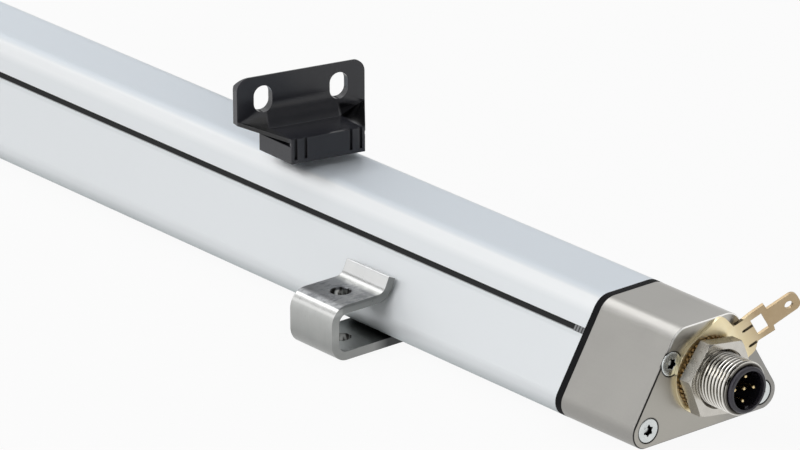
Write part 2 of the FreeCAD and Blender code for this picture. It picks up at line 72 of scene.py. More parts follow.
# Studio. A pale room with soft light from all round, white where the camera or a polished
# surface looks past the object, and two soft boxes: one over the near side, one past the
# profile's far end.
class Signal:
    """The value of one socket, with arithmetic on it."""

    def __init__(self, tree, socket):
        self.tree = tree
        self.socket = socket

    def maths(self, operation, *values, clamp=False):
        """One Math node on signals and numbers."""
        made = self.tree.nodes.new("ShaderNodeMath")
        made.operation = operation
        made.use_clamp = clamp
        for socket, value in zip(made.inputs, values):
            if isinstance(value, Signal):
                self.tree.links.new(value.socket, socket)
            else:
                socket.default_value = value
        return Signal(self.tree, made.outputs[0])

    def __add__(self, other):
        return self.maths("ADD", self, other)

    def __sub__(self, other):
        return self.maths("SUBTRACT", self, other)

    def __mul__(self, other):
        return self.maths("MULTIPLY", self, other)

    def __radd__(self, other):
        return self.maths("ADD", other, self)

    def __rsub__(self, other):
        return self.maths("SUBTRACT", other, self)

    def __rmul__(self, other):
        return self.maths("MULTIPLY", other, self)

    def size(self):
        return self.maths("ABSOLUTE", self)

    def root(self):
        return self.maths("SQRT", self)

    def fraction(self):
        return self.maths("FRACT", self)

    def between(self, low, high):
        """0 below low and 1 above high, straight in between; low may be the higher one."""
        return self.maths("DIVIDE", self - low, high - low, clamp=True)


class Nodes:
    """A node tree that nodes are added to."""

    def __init__(self, tree):
        self.tree = tree

    def add(self, kind, settings, values, output=0):
        """One node: its settings, then the values or links of its sockets."""
        made = self.tree.nodes.new(kind)
        for name, value in settings.items():
            setattr(made, name, value)
        for name, value in values.items():
            if isinstance(value, Signal):
                self.tree.links.new(value.socket, made.inputs[name])
            else:
                made.inputs[name].default_value = value
        return Signal(self.tree, made.outputs[output])

    def ray(self, kind):
        return self.add("ShaderNodeLightPath", {}, {}, kind)


ambient = 0.5
world = bpy.data.worlds.new("studio")
bpy.context.scene.world = world
world.use_nodes = True
air = Nodes(world.node_tree)
seen = air.ray("Is Camera Ray") + air.ray("Is Glossy Ray") + air.ray("Is Transmission Ray")
brightness = ambient + seen * (1 - ambient)
backdrop = world.node_tree.nodes["Background"]
backdrop.inputs["Color"].default_value = (1.0, 1.0, 1.0, 1.0)
world.node_tree.links.new(brightness.socket, backdrop.inputs["Strength"])


def toward(bearing, height):
    """Direction from the object on the given bearing and height in degrees."""
    turn, lift = math.radians(bearing), math.radians(height)
    return Vector((math.cos(lift) * math.cos(turn), math.cos(lift) * math.sin(turn), math.sin(lift)))


def soft_box(name, bearing, height, distance, wide, tall, power):
    """A rectangular lamp that faces the object."""
    data = bpy.data.lights.new(name, "AREA")
    data.shape = "RECTANGLE"
    data.size = wide
    data.size_y = tall
    data.energy = power
    box = bpy.data.objects.new(name, data)
    way = toward(bearing, height)
    facing = way.to_track_quat("Z", "Y").to_matrix().to_4x4()
    box.matrix_world = Matrix.Translation(way * distance) @ facing
    bpy.context.collection.objects.link(box)


soft_box("key", 258, 42, 1.7, 1.0, 0.8, 8.5)
soft_box("band", 178, 45, 4.0, 2.2, 1.2, 12.0)


# Dark cards. They stand round the object out of the camera's sight, on the sides that the
# polished pieces mirror, and give the metal its dark bands.
def card(name, bearing, height, distance, wide, tall, shade):
    """A matt card that faces the object."""
    way = toward(bearing, height)
    turn = math.radians(bearing)
    side = Vector((-math.sin(turn), math.cos(turn), 0)) * wide / 2
    rise = way.cross(side).normalized() * tall / 2
    middle = way * distance
    mesh = bpy.data.meshes.new(name)
    corners = [middle - side - rise, middle + side - rise, middle + side + rise, middle - side + rise]
    mesh.from_pydata(corners, [], [(0, 1, 2, 3)])
    piece = bpy.data.objects.new(name, mesh)
    bpy.context.collection.objects.link(piece)
    piece.visible_camera = False
    piece.visible_shadow = False
    look = bpy.data.materials.new(name)
    look.use_nodes = True
    cloth = look.node_tree.nodes["Principled BSDF"]
    cloth.inputs["Base Color"].default_value = (shade, shade, shade, 1)
    cloth.inputs["Roughness"].default_value = 1.0
    cloth.inputs["Specular IOR Level"].default_value = 0.0
    mesh.materials.append(look)


card("dark_card", 321, 24, 2.4, 1.5, 1.1, 0.02)
card("low_card", 40, 14, 1.1, 1.2, 0.5, 0.55)
card("far_card", 13, 24, 1.5, 0.5, 1.3, 0.3)
card("left_card", 214, 34, 1.2, 0.5, 0.3, 0.02)
card("slot_card", 128.7, 32.5, 0.106, 0.04, 0.03, 0.02)
card("top_card", 300, 78, 1.6, 1.5, 1.5, 0.02)

# Floor. A pale sheet just under the clamp's foot, where the machine bed would be. It glows
# nearly white to the camera and in reflections, and keeps a faint shadow of the part.
floor_half = 3
floor_level = cad_box[0][2] - 0.0002
mesh = bpy.data.meshes.new("floor")
corners = [(x * floor_half, y * floor_half, floor_level) for x, y in ((-1, -1), (1, -1), (1, 1), (-1, 1))]
mesh.from_pydata(corners, [], [(0, 1, 2, 3)])
floor = bpy.data.objects.new("floor", mesh)
bpy.context.collection.objects.link(floor)
look = bpy.data.materials.new("floor")
look.use_nodes = True
mesh.materials.append(look)
sheet = Nodes(look.node_tree)
paper = look.node_tree.nodes["Principled BSDF"]
paper.inputs["Base Color"].default_value = (0.86, 0.86, 0.86, 1)
paper.inputs["Roughness"].default_value = 0.9
paper.inputs["Specular IOR Level"].default_value = 0.1
glow = sheet.add("ShaderNodeEmission", {}, {"Color": (1, 1, 1, 1), "Strength": 1.0})
mirrored = sheet.ray("Is Glossy Ray") + sheet.ray("Is Transmission Ray")
share = sheet.ray("Is Camera Ray") * 0.93 + mirrored * 0.8
lit_paper = Signal(look.node_tree, paper.outputs[0])
mixed = sheet.add("ShaderNodeMixShader", {}, {"Fac": share, 1: lit_paper, 2: glow})
look.node_tree.links.new(mixed.socket, look.node_tree.nodes["Material Output"].inputs["Surface"])


# Profile. One aluminium extrusion with a groove in each side and clear anodised, so it carries
# fine lines along its length, a soft grain and a few handling marks. Its colour also holds
# painted light: a highlight along the rounded top edge, a darker bluer top face, and shade at
# the foot, along the groove's lower edge and inside the groove.
class Finish(Nodes):
    """A surface finish, with its patterns laid out in millimetres on the resting part."""

    def __init__(self, name, colour, **steady):
        self.material = bpy.data.materials.new(name)
        self.material.use_nodes = True
        super().__init__(self.material.node_tree)
        self.shader = self.tree.nodes["Principled BSDF"]
        self.shader.inputs["Base Color"].default_value = (*colour, 1.0)
        for socket, value in steady.items():
            self.shader.inputs[socket.replace("_", " ")].default_value = value

    def spot(self, stretch=(1, 1, 1), turn=(0, 0, 0)):
        """The point in millimetres, stretched along each axis and turned."""
        place = self.add("ShaderNodeTexCoord", {}, {}, "Object")
        return self.add("ShaderNodeMapping", {"vector_type": "POINT"},
                        {"Vector": place, "Rotation": turn, "Scale": [s / mm for s in stretch]})

    def axis(self, name):
        """One coordinate in millimetres."""
        return self.add("ShaderNodeSeparateXYZ", {}, {"Vector": self.spot()}, name)

    def noise(self, grain, detail=2.0, rough=0.5, stretch=(1, 1, 1), turn=(0, 0, 0)):
        """Cloudy pattern with patches about grain millimetres across."""
        spot = self.spot([s / grain for s in stretch], turn)
        values = {"Vector": spot, "Scale": 1.0, "Detail": detail, "Roughness": rough}
        return self.add("ShaderNodeTexNoise", {}, values, "Fac")

    def blend(self, share, low, high):
        """The colour low where share is 0, and high where it is 1."""
        return self.add("ShaderNodeMix", {"data_type": "RGBA"}, {0: share, 6: low, 7: high}, 2)

    def feed(self, socket, value):
        self.tree.links.new(value.socket, self.shader.inputs[socket])

    def relief(self, height, edge=0.0):
        """Height in millimetres, over edges softened by a radius in millimetres."""
        values = {"Height": height, "Distance": mm, "Strength": 1.0}
        if edge:
            values["Normal"] = self.add("ShaderNodeBevel", {"samples": 6}, {"Radius": edge * mm})
        self.feed("Normal", self.add("ShaderNodeBump", {}, values))

    def dress(self, *names):
        """Gives the finish to pieces that keep their shape from the frame."""
        for name in names:
            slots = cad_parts[name].data.materials
            slots.clear()
            slots.append(self.material)


foot_half = 23.4
side_slope = 0.606
groove_height = 17.95

anodised = Finish("anodised", (0.79, 0.815, 0.84), Metallic=0.5, IOR=1.5)
across, height = anodised.axis("Y"), anodised.axis("Z")
lines = anodised.noise(0.35, 3.0, 0.6, (0.004, 1, 1))
grain = anodised.noise(0.12, 2.0)
smudge = anodised.noise(38, 3.0, 0.55, (0.5, 1, 1))
tone = smudge * 0.05 + lines * 0.03 + 0.46
metal = anodised.blend(tone, (0.75, 0.785, 0.81, 1), (0.86, 0.88, 0.895, 1))
# Painted highlight: a pale band along the rounded edge between the side and the top face.
painted_shoulder_highlight = height.between(21.0, 22.6) * height.between(24.6, 24.2)
metal = anodised.blend(painted_shoulder_highlight * 0.7, metal, (0.95, 0.965, 0.975, 1))
# Painted shade: the top face is tinted a little darker and bluer than the side.
painted_top_shade = height.between(24.2, 24.9)
metal = anodised.blend(painted_top_shade, metal, (0.77, 0.825, 0.88, 1))
# Painted shade: the lower rounding darkens towards the foot, and a band along the groove's lower edge
# darkens a little.
foot = height.between(4.0, 0.4)
painted_shade_below_groove = (height - (groove_height - 1.0)).size().between(0.5, 0.1)
metal = anodised.blend(foot * 0.85 + painted_shade_below_groove * 0.15, metal, (0.44, 0.49, 0.50, 1))
# Painted shadow: inside the groove the surface is near black, not metallic and rougher.
depth = (across.size() + height * side_slope - foot_half) * (1 / math.hypot(1, side_slope))
painted_groove_shadow = depth.between(-0.12, -0.3) * (height - groove_height).size().between(1.1, 0.9)
anodised.feed("Base Color", anodised.blend(painted_groove_shadow, metal, (0.012, 0.013, 0.014, 1)))
anodised.feed("Metallic", 0.5 - painted_groove_shadow * 0.5)
anodised.feed("Roughness", 0.48 + lines * 0.07 + smudge * 0.06 + painted_groove_shadow * 0.2)
anodised.relief(lines * 0.0016 + grain * 0.0007, 0.12)
anodised.dress("profile")

# Groove plugs. Short ribbed strips of grey rubber, pushed into the groove's ends to close them,
# dull and a little rough.
plug = Finish("plug_rubber", (0.3, 0.31, 0.31), Roughness=0.65)
speck = plug.noise(0.2, 2.0)
# Painted shade: near-black stripes between lighter ribs run across the strip.
painted_rib_shading = (plug.axis("X") * 1.1).fraction().between(0.35, 0.55)
tone = painted_rib_shading * 0.8 + speck * 0.2
plug.feed("Base Color", plug.blend(tone, (0.03, 0.03, 0.03, 1), (0.34, 0.35, 0.36, 1)))
plug.relief(speck * 0.01, 0.1)
plug.dress("groove_plugs")

# Gaskets. Black moulded rubber bands, squeezed between profile and cap until they stand a
# little proud all round, with a fine matt skin. The rod's damper and the connector's seal are
# of the same rubber.
rubber = Finish("gasket_rubber", (0.01, 0.01, 0.011), Roughness=0.7, Specular_IOR_Level=0.12)
skin = rubber.noise(0.25, 3.0, 0.6)
dust = rubber.noise(4.0, 2.0)
rubber.feed("Base Color", rubber.blend(dust, (0.004, 0.004, 0.005, 1), (0.011, 0.011, 0.012, 1)))
rubber.feed("Roughness", 0.6 + skin * 0.25)
rubber.relief(skin * 0.012, 0.25)
rubber.dress("front_gasket", "rear_gasket", "rod_damper", "connector_seal")

# End caps. Zinc die castings with a light draft and a crisp front edge, blasted and satin nickel
# plated; the fine grain shows as a soft mottle. Painted light lies on the top corner, the front
# face, the front edge and round the screw heads.
cap_front, cap_rear = 154.7, -143.9
screw_places = ((9.8, 17.5), (16.1, 4.05))


def spread(finish, y, z):
    """Squared distance in millimetres from the lines along X at y and at -y, at height z."""
    off = finish.axis("Y").size() - y
    rise = finish.axis("Z") - z
    return off * off + rise * rise


cast = Finish("cap_metal", (0.35, 0.34, 0.32), Metallic=1.0)
along, across, height = (cast.axis(name) for name in "XYZ")
ahead = along - cap_front
mottle = cast.noise(0.55, 4.0, 0.65)
cloud = cast.noise(9.0, 3.0, 0.5)
brushed = cast.noise(0.3, 3.0, 0.6, (0.03, 1, 1))
warm = cloud * 0.5 + mottle * 0.35 + brushed * 0.15
metal = cast.blend(warm, (0.31, 0.303, 0.288, 1), (0.39, 0.38, 0.357, 1))
# Painted highlight: a pale band along the rounded top corner of both caps.
corner = height.between(22.7, 23.5) * height.between(24.95, 24.6)
metal = cast.blend(corner * 0.6, metal, (0.60, 0.59, 0.565, 1))
# Painted reflection: a warm, lighter tone on the front face, fading out towards its far side.
front = ahead.between(-0.1, -0.01) * across.between(12, 2)
metal = cast.blend(front * 0.27, metal, (0.74, 0.70, 0.60, 1))
# Painted highlight and painted dark reflection: a thin line round the front cap's chamfer, bright on its
# upper part and near black below.
edge = ahead.between(-0.27, -0.25) * ahead.between(-0.02, -0.04)
upper = height.between(19.5, 21.5)
metal = cast.blend(edge * upper, metal, (0.95, 0.94, 0.91, 1))
metal = cast.blend(edge * (1.0 - upper) * 0.9, metal, (0.02, 0.019, 0.018, 1))
# Painted shade: a near-black ring in the gap round each screw head, on the front and rear faces.
painted_screw_gap_shade = [spread(cast, y, z).root().between(3.05, 2.8) for y, z in screw_places]
ends = ahead.between(-0.6, -0.5) + (along - cap_rear).between(0.6, 0.5)
metal = cast.blend(ends * (painted_screw_gap_shade[0] + painted_screw_gap_shade[1]) * 0.92, metal, (0.02, 0.019, 0.018, 1))
cast.feed("Base Color", metal)
cast.feed("Roughness", 0.27 + mottle * 0.12 + cloud * 0.06)
cast.relief(mottle * 0.005 + brushed * 0.002)
cast.dress("front_cap", "rear_cap")


# Cap screws. Zinc plated countersunk screws with a six lobed recess, their shanks passing
# through cap and gasket into the profile.
def flat_ring(x, r):
    """A round ring of radius r at x."""
    return lambda turn: (x, r)


def turned(name, rings, count):
    """Skin through rings about the X line at zero; each gives x and radius for an angle."""
    mesh = bpy.data.meshes.new(name)
    points, faces = [], []
    for ring in rings:
        for k in range(count):
            turn = 2 * math.pi * k / count
            x, r = ring(turn)
            points.append((x * mm, -r * mm * math.sin(turn), r * mm * math.cos(turn)))
    for i in range(len(rings) - 1):
        for k in range(count):
            after = (k + 1) % count
            faces.append((i * count + k, i * count + after, (i + 1) * count + after, (i + 1) * count + k))
    mesh.from_pydata(points, [], faces)
    return mesh


def shade(mesh, sharp):
    """Shades smoothly over edges up to an angle in degrees."""
    mesh.shade_smooth()
    mesh.set_sharp_from_angle(angle=math.radians(sharp))
    return mesh


def settle(mesh, sharp=35):
    """Joins doubled points, turns the faces outwards and shades the mesh."""
    form = bmesh.new()
    form.from_mesh(mesh)
    bmesh.ops.remove_doubles(form, verts=form.verts, dist=1e-7)
    bmesh.ops.dissolve_degenerate(form, edges=form.edges, dist=1e-7)
    bmesh.ops.recalc_face_normals(form, faces=form.faces)
    form.to_mesh(mesh)
    form.free()
    return shade(mesh, sharp)


def together(name, parts, sharp):
    """One mesh of several."""
    whole = bmesh.new()
    for part in parts:
        whole.from_mesh(part)
    mesh = bpy.data.meshes.new(name)
    whole.to_mesh(mesh)
    whole.free()
    return shade(mesh, sharp)


def put(name, mesh, body, slot, finish, *nodes):
    """A piece made here, which takes the place of the nodes named."""
    piece = bpy.data.objects.new(name, mesh)
    bpy.context.collection.objects.link(piece)
    mesh.materials.clear()
    mesh.materials.append(finish.material)
    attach(piece, body)
    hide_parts(*nodes)


shank, head = 1.25, 2.65

zinc = Finish("zinc_steel", (0.74, 0.77, 0.77), Metallic=1.0)
along = zinc.axis("X")
spangle = zinc.noise(0.35, 3.0, 0.6)
stain = zinc.noise(1.6, 2.0)
plate = zinc.blend(stain, (0.60, 0.64, 0.64, 1), (0.84, 0.86, 0.85, 1))
# Painted shade: the six lobed recess is near black below the head's face.
lobes = []
for y, z in screw_places:
    out = spread(zinc, y, z)
    lobes.append(out.between(2.4, 2.2) * out.between(0.25, 0.7))
below = (along - cap_front).between(-0.06, -0.2) * (along - cap_rear).between(0.1, 0.2)
zinc.feed("Base Color", zinc.blend(below * (lobes[0] + lobes[1]), plate, (0.01, 0.011, 0.012, 1)))
zinc.feed("Roughness", 0.16 + spangle * 0.2)
zinc.relief(spangle * 0.004, 0.05)


def star(x, inner, lobe):
    """Edge of the recess at x, with six lobes standing out from the inner radius."""
    return lambda turn: (x, inner + lobe * (0.5 + 0.5 * math.cos(6 * turn)) ** 1.6)


def screw_rings(length):
    """Shank, cone, flat head and recess of one screw, from the cap's face at zero."""
    outline = [(-length, 0), (-length, 0.9), (-length + 0.5, shank), (-1.62, shank), (-0.24, head - 0.01),
               (-0.1, head), (-0.04, head - 0.07), (-0.02, head - 0.2), (-0.02, 1.9)]
    rings = [flat_ring(x, r + 1e-4) for x, r in outline]
    rings += [star(-0.02, 1.02, 0.38), star(-0.08, 0.98, 0.36), star(-0.95, 0.92, 0.34)]
    rings += [flat_ring(-1.05, 0.6), flat_ring(-1.2, 1e-4)]
    return rings


def screw_set(name, node, face, length, turned_by):
    """The four screws of one cap, each stopped at its own angle."""
    screws = []
    for (y, z), twists in zip(screw_places, ((12, 40), (-8, 25))):
        for side, twist in zip((-1, 1), twists):
            screw = settle(turned(name, screw_rings(length), 72))
            place = Matrix.Translation((face * mm, side * y * mm, z * mm))
            place = place @ Matrix.Rotation(turned_by, 4, "Z")
            screw.transform(place @ Matrix.Rotation(math.radians(twist), 4, "X"))
            screws.append(screw)
    put(name, together(name, screws, 35), "housing", "zinc_steel", zinc, node)


screw_set("cap_screws_front", "front_cap_screws", cap_front, 32.7, 0)
screw_set("cap_screws_rear", "rear_cap_screws", cap_rear, 21.9, math.pi)

# Connector shell. A turned brass sleeve, nickel plated, with the M12 x 1 thread cut from its
# end back to the cap and a flange behind the cap's wall.
connector_height = 13.1
pitch, steps = 1.0, 16
crest, root, bore = 5.98, 5.39, 4.85
start, end = cap_front, 167.05
flange_front, flange_rear, flange_radius = 149.7, 148.1, 7.6
nut_front = 159.7

nickel = Finish("nickel", (0.70, 0.68, 0.63), Metallic=1.0)
ahead = nickel.axis("X") - nut_front
rise = nickel.axis("Z") - connector_height
out = spread(nickel, 0, connector_height)
bloom = nickel.noise(1.8, 3.0, 0.5)
lathe = nickel.noise(0.16, 2.0, 0.5, (1, 0.3, 0.3))
plate = nickel.blend(bloom, (0.54, 0.515, 0.47, 1), (0.70, 0.68, 0.63, 1))
# Painted shade: the nut is darkened towards brown all over, and more on its upper near facets.
hexagon = ahead.between(0.0, -0.2)
upper = rise.between(5.0, 6.5) * nickel.axis("Y").between(-4.5, -3) * 0.3
plate = nickel.blend(hexagon * (upper + 0.25), plate, (0.20, 0.175, 0.13, 1))
# Painted highlight on the thread's crest and painted shade in its groove. The distance is squared: 36 is 6
# mm.
threaded = ahead.between(-0.1, 0.2)
painted_crest_highlight = out.between(33.6, 35.2) * out.between(36.2, 36.0) * threaded
plate = nickel.blend(painted_crest_highlight * 0.8, plate, (0.96, 0.94, 0.89, 1))
groove = out.between(34.6, 31.2) * threaded
nickel.feed("Base Color", nickel.blend(groove * 0.94, plate, (0.05, 0.045, 0.038, 1)))
nickel.feed("Roughness", 0.10 + bloom * 0.08 + lathe * 0.04 + hexagon * 0.12)
nickel.relief(lathe * 0.001, 0.06)


def thread_row(j):
    """One row of the helical thread, held between the sleeve's start and end."""
    phase = (j % steps) / steps
    flank = min(max((abs(phase - 0.5) - 0.06) / 0.31, 0), 1)
    radius = root + (crest - root) * flank

    def row(turn):
        x = start + pitch * (j / steps - 1 + turn / (2 * math.pi))
        x = min(max(x, start), end)
        return x, min(radius, crest - 0.5 + (end - x) * 0.9)
    return row


def sleeve():
    """Thread, chamfered end, bore and flange of the shell as one closed skin."""
    count = 96
    turns = [2 * math.pi * k / count for k in range(count + 1)]
    total = int((end - start) / pitch + 1) * steps + steps
    points, faces = [], []

    def corner(ring, turn):
        x, r = ring(turn)
        points.append((x * mm, -r * mm * math.sin(turn), r * mm * math.cos(turn)))
        return len(points) - 1

    def bridge(lower, upper):
        rows = [[corner(ring, turn) for turn in turns] for ring in (lower, upper)]
        for k in range(count):
            faces.append((rows[0][k], rows[0][k + 1], rows[1][k + 1], rows[1][k]))

    for j in range(total):
        bridge(thread_row(j), thread_row(j + 1))
    outline = [(start, crest), (flange_front, crest), (flange_front, flange_radius),
               (flange_rear, flange_radius), (flange_rear, bore), (end - 0.15, bore), (end, bore + 0.15),
               (end, 5.3)]
    rings = [lambda turn: (start, thread_row(0)(turn)[1])] + [flat_ring(x, r) for x, r in outline]
    for lower, upper in zip(rings, rings[1:]):
        bridge(lower, upper)
    mesh = bpy.data.meshes.new("connector_sleeve")
    mesh.from_pydata(points, [], faces)
    mesh = settle(mesh, 50)
    mesh.transform(Matrix.Translation((0, 0, connector_height * mm)))
    return mesh


put("connector_sleeve", sleeve(), "housing", "nickel", nickel, "connector_shell")

# Connector insert. Glossy black moulded plastic with its key, a rim over the sleeve's end and
# five contacts in its cavity.
insert = Finish("insert_plastic", (0.012, 0.012, 0.015), Roughness=0.22, Specular_IOR_Level=0.42)
swirl = insert.noise(1.2, 2.0)
# Painted sheen: the front rim beyond the sleeve's end is lighter and more purple, while the cavity behind
# it stays near black.
rim = (insert.axis("X") - end).between(-0.15, 0.25)
tone = swirl * 0.3 + rim * 0.7
insert.feed("Base Color", insert.blend(tone, (0.008, 0.008, 0.012, 1), (0.062, 0.058, 0.074, 1)))
insert.feed("Roughness", 0.16 + swirl * 0.1)
insert.relief(swirl * 0.004, 0.25)
insert.dress("connector_insert")

# Contacts. Five turned pins with rounded tips, gold over nickel: one in the middle of the
# insert and four on a circle round it.
pin_radius, pin_circle, pin_turn = 0.5, 2.75, -8
tail, tip = 140.1, cap_front + 12.2

gold = Finish("gold", (0.86, 0.66, 0.32), Metallic=1.0)
worn = gold.noise(0.4, 2.0)
gold.feed("Base Color", gold.blend(worn, (0.80, 0.60, 0.28, 1), (0.95, 0.80, 0.50, 1)))
gold.feed("Roughness", 0.12 + worn * 0.16)
outline = [(tail, 1e-4), (tail, 0.42), (tail + 0.3, pin_radius), (tip - 0.55, pin_radius),
           (tip - 0.3, 0.44), (tip - 0.1, 0.28), (tip, 1e-4)]
spots = [(0, 0)]
for k in range(4):
    angle = math.radians(90 * k + pin_turn)
    spots.append((pin_circle * math.cos(angle), pin_circle * math.sin(angle)))
pins = []
for y, z in spots:
    pin = settle(turned("pin", [flat_ring(x, r) for x, r in outline], 32), 40)
    pin.transform(Matrix.Translation((0, y * mm, (connector_height + z) * mm)))
    pins.append(pin)
put("contacts", together("contacts", pins, 40), "housing", "gold", gold, "contact_pins")

# Earth tag. Stamped brass sheet: a flat ring under the nut and a neck with a window, bent forward
# to the solder tab. It points up and back, 32.6 degrees above the horizontal. Bright on its faces,
# with painted shade darkening it towards the tab, on its slit walls and along one edge of the neck.
tag_rise = math.radians(32.6)
tag_cos, tag_sin = math.cos(tag_rise), math.sin(tag_rise)
bend_start, bend_end = 9.8, 11.0
bend_angle = math.radians(20)

brass = Finish("brass", (0.78, 0.66, 0.42), Metallic=1.0)
across, rise = brass.axis("Y"), brass.axis("Z") - connector_height
reach = across * tag_cos + rise * tag_sin
aside = rise * tag_cos - across * tag_sin
roll = brass.noise(0.25, 3.0, 0.6, (1, 0.2, 0.06), (-tag_rise, 0, 0))
tarnish = brass.noise(3.0, 3.0, 0.55)
# Painted shade: the brass darkens from the ring towards the bent tab.
disc = brass.blend(tarnish, (0.93, 0.77, 0.45, 1), (1.0, 0.92, 0.68, 1))
tab = brass.blend(tarnish, (0.42, 0.31, 0.18, 1), (0.55, 0.43, 0.28, 1))
face = brass.blend(reach.between(9.0, 15.5), disc, tab)
# Painted shade: near black on the walls of the two slit openings and along the neck's near edge by the
# bend.
upper = (aside - 0.95).size().between(0.42, 0.3) * reach.between(11.6, 11.8) * reach.between(14.1, 13.9)
lower = (aside + 3.5).size().between(0.42, 0.3) * reach.between(11.2, 11.4) * reach.between(13.2, 13.0)
painted_edge_shade = aside.between(3.6, 3.66) * reach.between(10.9, 11.0) * reach.between(13.0, 12.9)
painted_slit_shade = (upper + lower + painted_edge_shade) * 0.93
brass.feed("Base Color", brass.blend(painted_slit_shade, face, (0.03, 0.02, 0.01, 1)))
brass.feed("Roughness", 0.27 + roll * 0.09 + tarnish * 0.06)
brass.relief(roll * 0.004, 0.12)


def arc(u, v, radius, first, last, count):
    """Points on an arc about (u, v), between two angles in degrees."""
    turns = [math.radians(first + (last - first) * k / count) for k in range(count + 1)]
    return [(u + radius * math.cos(turn), v + radius * math.sin(turn)) for turn in turns]


def stamped(name, outline, openings, folds, place, thick):
    """Sheet cut to an outline with openings and folded by place(u, v, height)."""
    form = bmesh.new()
    for loop in [outline] + openings:
        corners = [form.verts.new((u, v, 0)) for u, v in loop]
        for one, other in zip(corners, corners[1:] + corners[:1]):
            form.edges.new((one, other))
    bmesh.ops.triangle_fill(form, use_beauty=True, edges=form.edges)
    for u in folds:
        parts = form.verts[:] + form.edges[:] + form.faces[:]
        bmesh.ops.bisect_plane(form, geom=parts, plane_co=(u, 0, 0), plane_no=(1, 0, 0))
    form.verts.index_update()
    count = len(form.verts)
    points = [place(vert.co.x, vert.co.y, height) for height in (0, thick) for vert in form.verts]
    faces = []
    for face in form.faces:
        row = [vert.index for vert in face.verts]
        faces += [row, [i + count for i in reversed(row)]]
    for edge in form.edges:
        if len(edge.link_faces) == 1:
            one, other = (vert.index for vert in edge.verts)
            faces.append([one, other, other + count, one + count])
    form.free()
    mesh = bpy.data.meshes.new(name)
    mesh.from_pydata(points, [], faces)
    return settle(mesh, 4)


def tag_place(u, v, height):
    """Point of the tag, flat up to the bend and then leaning forward."""
    bend = bend_end - bend_start
    lean = bend_angle * min(max((u - bend_start) / bend, 0), 1)
    radius = bend / bend_angle
    past = max(u - bend_end, 0)
    out = min(u, bend_start) + radius * math.sin(lean) + past * math.cos(lean)
    x = cap_front + radius * (1 - math.cos(lean)) + past * math.sin(lean)
    x, out = x + height * math.cos(lean), out - height * math.sin(lean)
    return x * mm, (out * tag_cos - v * tag_sin) * mm, (connector_height + out * tag_sin + v * tag_cos) * mm


# The flat blank, with u along the neck from the ring's centre and v across it.
tag_edge = arc(0, 0, 9.15, 90, 318, 76)
tag_edge += [(11.4, -5.6), (12.3, -5.25), (12.9, -4.6), (13.4, -3.9), (13.9, -3.5), (18.1, -3.7),
             (18.35, -2.35)]
tag_edge += arc(24.2, -0.7, 1.6, -90, 0, 8) + arc(24.2, 0.7, 1.6, 0, 90, 8)
tag_edge += [(18.75, 2.35), (18.7, 3.95), (15.0, 3.92), (13.2, 3.7), (10.75, 3.7), (10.4, 5.4), (10.0, 6.9),
             (9.7, 7.5), (9.3, 7.95), (8.8, 8.25), (8.3, 8.4), (0.8, 9.11)]
shell_hole = arc(0, 0, 6.1, 0, 354, 59)
wire_hole = arc(23.25, -0.1, 1.0, 0, 345, 23)
window = [(14.5, -2.25), (17.3, -2.25), (17.3, 2.35), (14.5, 2.35)]
upper_slit = [(11.8, 0.75), (14.1, 0.75), (14.1, 1.15), (11.8, 1.15)]
lower_slit = [(11.4, -3.7), (13.1, -3.7), (13.1, -3.35), (11.4, -3.35)]
openings = [shell_hole, window, wire_hole, upper_slit, lower_slit]
folds = (bend_start, 10.2, 10.6, bend_end)
tag = stamped("tag", tag_edge, openings, folds, tag_place, 0.8)
put("tag", tag, "housing", "brass", brass, "earth_tag")

# Lock washer. Hardened spring steel, oiled dark brown. Its outer teeth are turned a little out
# of the flat, so that they bite into the tag and the nut.
washer_rear, washer_front = 155.65, 156.35
washer_bore, tooth_foot = 6.1, 7.6
teeth = 44

spring = Finish("spring_steel", (0.16, 0.11, 0.06), Metallic=1.0)
oil = spring.noise(0.6, 3.0, 0.6)
spring.feed("Base Color", spring.blend(oil, (0.08, 0.045, 0.02, 1), (0.50, 0.35, 0.17, 1)))
spring.feed("Roughness", 0.22 + oil * 0.2)
spring.relief(oil * 0.006, 0.1)


def toothed(x, twist):
    """Outer edge of the washer at one depth, with its teeth turned by twist across their width."""
    def edge(turn):
        share = (turn * teeth / (2 * math.pi)) % 1
        out = min(max((0.34 - abs(share - 0.5)) / 0.08, 0), 1)
        return x + (share - 0.5) * twist * out, tooth_foot + 0.15 + 0.6 * out
    return edge


rings = [flat_ring(washer_rear, washer_bore), flat_ring(washer_rear, tooth_foot),
         toothed(washer_rear + 0.05, 0.5), toothed(washer_front - 0.05, 0.5),
         flat_ring(washer_front, tooth_foot), flat_ring(washer_front, washer_bore),
         flat_ring(washer_rear, washer_bore)]
washer = settle(turned("lock_washer_teeth", rings, teeth * 16), 30)
washer.transform(Matrix.Translation((0, 0, connector_height * mm)))
put("lock_washer_teeth", washer, "housing", "spring_steel", spring, "lock_washer")

# Connector nut. A chamfered brass hexagon with the sleeve's nickel plating, which clamps the
# tag and the washer against the cap.
nickel.dress("connector_nut")

# Circuit board. Green solder mask over copper tracks, with black moulded components, and an
# amber film strip from the board to the connector, all inside the profile.
mask = Finish("solder_mask", (0.03, 0.2, 0.09), Roughness=0.35)
tracks = mask.noise(2.2, 0.0, 0.0, (0.25, 1, 1)).between(0.5, 0.53)
mask.feed("Base Color", mask.blend(tracks, (0.015, 0.13, 0.05, 1), (0.05, 0.26, 0.12, 1)))
mask.feed("Roughness", 0.3 + tracks * 0.12)
mask.relief(tracks * 0.02)
mask.dress("circuit_board")
moulded = Finish("component_plastic", (0.04, 0.04, 0.042), Roughness=0.5)
crumb = moulded.noise(0.2, 2.0)
moulded.feed("Base Color", moulded.blend(crumb, (0.025, 0.025, 0.027, 1), (0.06, 0.06, 0.06, 1)))
moulded.relief(crumb * 0.01, 0.1)
moulded.dress("board_components")
film = Finish("flex_film", (0.5, 0.27, 0.07), Roughness=0.3)
